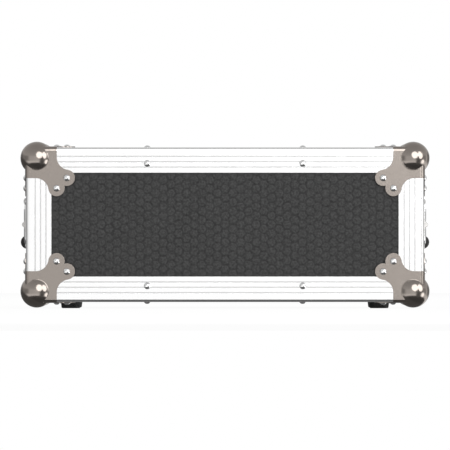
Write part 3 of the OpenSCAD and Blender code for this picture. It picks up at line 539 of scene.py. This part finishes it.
def box_in_quarter(node, side_x, side_y):
    """The box of what a node has in one quarter of the case"""
    everywhere = [vert.co for vert in NODES[node].data.vertices]
    points = [place for place in everywhere if place.x * side_x > 0 and place.y * side_y > 0]
    low = Vector([min(point[axis] for point in points) for axis in range(3)])
    high = Vector([max(point[axis] for point in points) for axis in range(3)])
    return low, high


def mirrored_along(plate):
    """A side board's plate as a board that looks the other way sees it"""
    return (-plate[0],) + plate[1:]


def dress_body():
    """The raised pattern on the body's four boards"""
    x, y, z = AXES
    half_depth = SPLIT_Y - FLANGE_W
    plates = [plate_on_side(*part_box("right_handle_dish"))]
    plates += [plate_on_side(*box_in_quarter("latch_dishes", 1, side)) for side in (-1, 1)]
    mirrored = [mirrored_along(plate) for plate in plates]
    raised_cells("top_pattern", "case_body", z * BOARD_TOP, x, y, HALF_WINDOW_W, half_depth)
    raised_cells("bottom_pattern", "case_body", z * BOARD_BOTTOM, -x, y, HALF_WINDOW_W, half_depth)
    raised_cells("right_pattern", "case_body", MIDDLE + x * BOARD_SIDE, y, z, half_depth, HALF_WINDOW_H,
                 plates)
    raised_cells("left_pattern", "case_body", MIDDLE - x * BOARD_SIDE, -y, z, half_depth, HALF_WINDOW_H,
                 mirrored)


def dress_cover(cover, way):
    """The raised pattern on a cover's panel and on the strips of board round it"""
    x, y, z = AXES
    body = cover + "_cover"
    out = y * way
    raised_cells(cover + "_pattern", body, MIDDLE - out * BOARD_FRONT, -way * x, z, HALF_WINDOW_W,
                 HALF_WINDOW_H)
    start, end = SPLIT_Y + FLANGE_W, -FACE_Y - ANGLE_LEG
    half = (end - start) / 2
    strip = out * (start + end) / 2
    raised_cells(cover + "_top_pattern", body, strip + z * BOARD_TOP, x, y, HALF_WINDOW_W, half)
    raised_cells(cover + "_bottom_pattern", body, strip + z * BOARD_BOTTOM, -x, y, HALF_WINDOW_W, half)
    for name, side in (("right", 1), ("left", -1)):
        low, high = box_in_quarter(cover + "_keepers", side, way)
        keeper = plate_on_side(low - strip, high - strip)
        if side < 0:
            keeper = mirrored_along(keeper)
        centre = MIDDLE + strip + x * side * BOARD_SIDE
        raised_cells(cover + "_" + name + "_pattern", body, centre, y * side, z, half, HALF_WINDOW_H,
                     [keeper])


# The balls and their plates, as in the part's source: radius, inset, thickness, and the bend's inner radius
BALL_R = 21.2 * MM
BALL_INSET = 13.9 * MM
PLATE_T = 1.2 * MM
PLATE_BEND = 4.4 * MM

# The fillets between them
FILLET_R = 1.8 * MM
FILLET_STEPS = 6
FILLET_TURNS = 40
FILLET_HIDDEN = 0.4 * MM
FILLET_FADE = math.radians(12)
FILLET_LEAST = 0.02
FILLET_CREASE = math.radians(30)


def fillet_profile():
    """The fillet's section, its hidden point first: each point's distance from the ball's axis, and its
    height over the case's face"""
    deep = BALL_INSET + PLATE_T
    far = math.sqrt((BALL_R + FILLET_R) ** 2 - (deep + FILLET_R) ** 2)
    last = math.atan2(deep + FILLET_R, far)
    foot = math.sqrt(BALL_R ** 2 - deep ** 2)
    profile = [(foot - FILLET_HIDDEN, PLATE_T - FILLET_HIDDEN)]
    for step in range(FILLET_STEPS + 1):
        angle = -math.pi / 2 - (math.pi / 2 - last) * step / FILLET_STEPS
        profile.append((far + FILLET_R * math.cos(angle), PLATE_T + FILLET_R + FILLET_R * math.sin(angle)))
    return profile


def add_fillet(mesh, corner, first, second, outward):
    """One fillet along the flat part of a plate, fading at both ends; first and second lead inwards"""
    profile = fillet_profile()
    reach = math.asin((BALL_INSET - PLATE_BEND) / profile[1][0])
    start, stop = -reach, math.pi / 2 + reach
    rings = []
    for turn in range(FILLET_TURNS + 1):
        angle = start + (stop - start) * turn / FILLET_TURNS
        size = max(FILLET_LEAST, min(1.0, (angle - start) / FILLET_FADE, (stop - angle) / FILLET_FADE))
        ring = []
        for distance, height in profile:
            distance = profile[0][0] + (distance - profile[0][0]) * size
            height = profile[0][1] + (height - profile[0][1]) * size
            along_first = first * (BALL_INSET + distance * math.cos(angle))
            along_second = second * (BALL_INSET + distance * math.sin(angle))
            ring.append(mesh.verts.new(corner + along_first + along_second + outward * height))
        rings.append(ring)
    for low, high in zip(rings, rings[1:]):
        for place in range(len(low)):
            after = (place + 1) % len(low)
            mesh.faces.new((low[place], low[after], high[after], high[place]))
    mesh.faces.new(reversed(rings[0]))
    mesh.faces.new(rings[-1])


def ball_fillets():
    """The fillets at the feet of all balls, one piece to a cover"""
    for cover, way in (("front", -1), ("rear", 1)):
        mesh = bmesh.new()
        for side in (-1, 1):
            for up in (-1, 1):
                corner = Vector((side * HALF_W, way * -FACE_Y, MID_Z + up * HALF_H))
                inwards = [Vector((-side, 0, 0)), Vector((0, -way, 0)), Vector((0, 0, -up))]
                for turn in range(3):
                    first, second, third = inwards[turn:] + inwards[:turn]
                    add_fillet(mesh, corner, first, second, -third)
        bmesh.ops.recalc_face_normals(mesh, faces=mesh.faces)
        for face in mesh.faces:
            face.smooth = True
        for edge in mesh.edges:
            edge.smooth = edge.calc_face_angle(0) < FILLET_CREASE
        as_piece(cover + "_ball_fillets", cover + "_cover", mesh, "corner_nickel")


# What metal mirrors: what the front shows, set until renders came near the photograph, and the rest for good
# views from other sides. The first list is for level directions, in degrees from the camera towards the
# right of the picture, and the second for other directions, in degrees up
ROUND_ABOUT = ((-180, 0.8), (-165, 0.75), (-148, 0.28), (-125, 0.28), (-110, 0.45), (-85, 0.4), (-69, 0.45),
               (-50, 0.9), (-25, 0.92), (0, 1.03), (12, 1.0), (28, 0.25), (52, 0.25), (70, 0.5), (98, 0.5),
               (110, 1.0), (125, 0.3), (148, 0.3), (165, 0.75), (180, 0.8))
UP_AND_DOWN = ((-90, 0.1), (-34, 0.12), (-29, 1.25), (-20, 1.25), (-14, 0.9), (0, 0.85), (35, 0.65),
               (90, 0.55))

# How far up or down, as a sine, the first list holds in full, and where it has given way to the second
LEVEL_UP_TO = 0.16
SLANTED_FROM = 0.3

# Patches over both: degrees right, degrees up, inner and outer half size in degrees, level
MIRRORED_PATCHES = (
    (40, -24, 10, 22, 0.2),
    (76, -20, 9, 14, 3.2),
    (-135, -50, 46, 58, 0.14),
)

# What the world gives as light, and the floor: its level, and how much of it the camera sees as plain white
FILL_LEVEL = 0.45
FLOOR_SIZE = 12.0
FLOOR_LEVEL = 0.85
SHOWN_SHARE = 0.95

# The lamps: degrees right, degrees up, width, height, brightness, and whether metal mirrors them
LAMP_DISTANCE = 4.2
LAMPS = {
    "key": (15.5, 22.3, 3.2, 3.45, 2.9, True),
    "side": (53.5, 18.5, 2.3, 3.3, 3.0, True),
    "fill": (-75, 35, 3.7, 3.7, 0.9, False),
    "back": (165, 40, 4.0, 4.0, 1.6, False),
}

# The camera: the picture's size, the scale and the middle row of the face in it, and the lens
PIXELS = 450
MM_PER_PIXEL = 1.286
FACE_ROW = 224.65
LENS = 1.7
SENSOR = 0.036


def pointing(turn, rise):
    """The direction from the case that is so many degrees from the camera's, towards the right of the
    picture, and so many degrees up"""
    turn, rise = math.radians(turn), math.radians(rise)
    return Vector((math.sin(turn) * math.cos(rise), -math.cos(turn) * math.cos(rise), math.sin(rise)))


def mirrored_world(tree):
    """How bright the studio is in each direction that metal mirrors"""
    direction = tree.add("TexCoord", output="Generated")
    sideways, away, upward = tree.split(direction)
    turn = (0 - away).angle(sideways)
    round_stops = [(0.5 + degrees / 360, level) for degrees, level in ROUND_ABOUT]
    up_stops = [(0.5 + math.sin(math.radians(degrees)) / 2, level) for degrees, level in UP_AND_DOWN]
    round_about = tree.ramp(turn / math.tau + 0.5, *round_stops)
    up_and_down = tree.ramp(0.5 + upward * 0.5, *up_stops)
    level_share = tree.ramp(abs(upward), (LEVEL_UP_TO, 1), (SLANTED_FROM, 0))
    mirrored = up_and_down + (round_about - up_and_down) * level_share
    for degrees_right, degrees_up, inner, outer, level in MIRRORED_PATCHES:
        towards = tree.add("VectorMath", {"operation": "DOT_PRODUCT"}, output="Value", in_0=direction,
                           in_1=pointing(degrees_right, degrees_up))
        inside = tree.add("MapRange", Value=towards, From_Min=math.cos(math.radians(outer)),
                          From_Max=math.cos(math.radians(inner)))
        mirrored = mirrored + (level - mirrored) * inside
    return mirrored


def studio_world():
    """White where the camera looks, softer for the light it gives, and uneven where metal mirrors it"""
    world = bpy.data.worlds.new("studio")
    world.use_nodes = True
    bpy.context.scene.world = world
    tree = Tree(world.node_tree)
    camera = tree.add("LightPath", output="Is Camera Ray")
    glossy = tree.add("LightPath", output="Is Glossy Ray")
    through = tree.add("LightPath", output="Is Transmission Ray")
    shown = camera + through
    level = shown + glossy * mirrored_world(tree) + (1 - shown - glossy) * FILL_LEVEL
    background = world.node_tree.nodes["Background"]
    plug(world.node_tree, background.inputs["Color"], WHITE)
    plug(world.node_tree, background.inputs["Strength"], level)


def studio_floor():
    """A pale floor that the camera sees as white, with the case's shadow on it"""
    half = FLOOR_SIZE / 2
    corners = ((-half, -half), (half, -half), (half, half), (-half, half))
    mesh = bmesh.new()
    mesh.faces.new([mesh.verts.new((x, y, CAD_BOX[0].z)) for x, y in corners])
    data = bpy.data.meshes.new("floor")
    mesh.to_mesh(data)
    mesh.free()
    floor = bpy.data.objects.new("floor", data)
    bpy.context.scene.collection.objects.link(floor)
    material = bpy.data.materials.new("floor")
    material.use_nodes = True
    tree = Tree(material.node_tree)
    material.node_tree.nodes.remove(material.node_tree.nodes["Principled BSDF"])
    pale = tree.add("BsdfDiffuse", Color=grey(FLOOR_LEVEL))
    glow = tree.add("Emission", Color=WHITE, Strength=1.0)
    camera = tree.add("LightPath", output="Is Camera Ray")
    through = tree.add("LightPath", output="Is Transmission Ray")
    surface = tree.add("MixShader", in_0=(camera + through) * SHOWN_SHARE, in_1=pale, in_2=glow)
    plug(material.node_tree, material.node_tree.nodes["Material Output"].inputs["Surface"], surface)
    data.materials.append(material)
    floor.visible_glossy = False


def studio_lamps():
    """Soft oval lamps that face the case"""
    for name, (degrees_right, degrees_up, width, height, brightness, mirrored) in LAMPS.items():
        away = pointing(degrees_right, degrees_up)
        area = math.pi * width * height / 4
        light = bpy.data.lights.new(name, "AREA")
        light.shape = "ELLIPSE"
        light.size = width
        light.size_y = height
        light.energy = brightness * math.pi * area
        lamp = bpy.data.objects.new(name, light)
        lamp.visible_camera = False
        lamp.visible_glossy = mirrored
        lamp.location = MIDDLE + away * LAMP_DISTANCE
        lamp.rotation_euler = (-away).to_track_quat("-Z", "Y").to_euler()
        bpy.context.scene.collection.objects.link(lamp)


def studio_camera():
    """A long lens straight in front, with the face as large and as high in the frame as in the photograph"""
    data = bpy.data.cameras.new("camera")
    data.sensor_width = SENSOR / MM
    data.lens = LENS / MM
    camera = bpy.data.objects.new("camera", data)
    distance = PIXELS * MM_PER_PIXEL * MM * LENS / SENSOR
    height = MID_Z + (FACE_ROW - PIXELS / 2) * MM_PER_PIXEL * MM
    camera.location = (0, FACE_Y - distance, height)
    camera.rotation_euler = (math.pi / 2, 0, 0)
    bpy.context.scene.collection.objects.link(camera)
    bpy.context.scene.camera = camera
    bpy.context.scene.view_settings.view_transform = "Standard"


finish_nodes()
dress_body()
dress_cover("front", -1)
dress_cover("rear", 1)
ball_fillets()
studio_world()
studio_floor()
studio_lamps()
studio_camera()
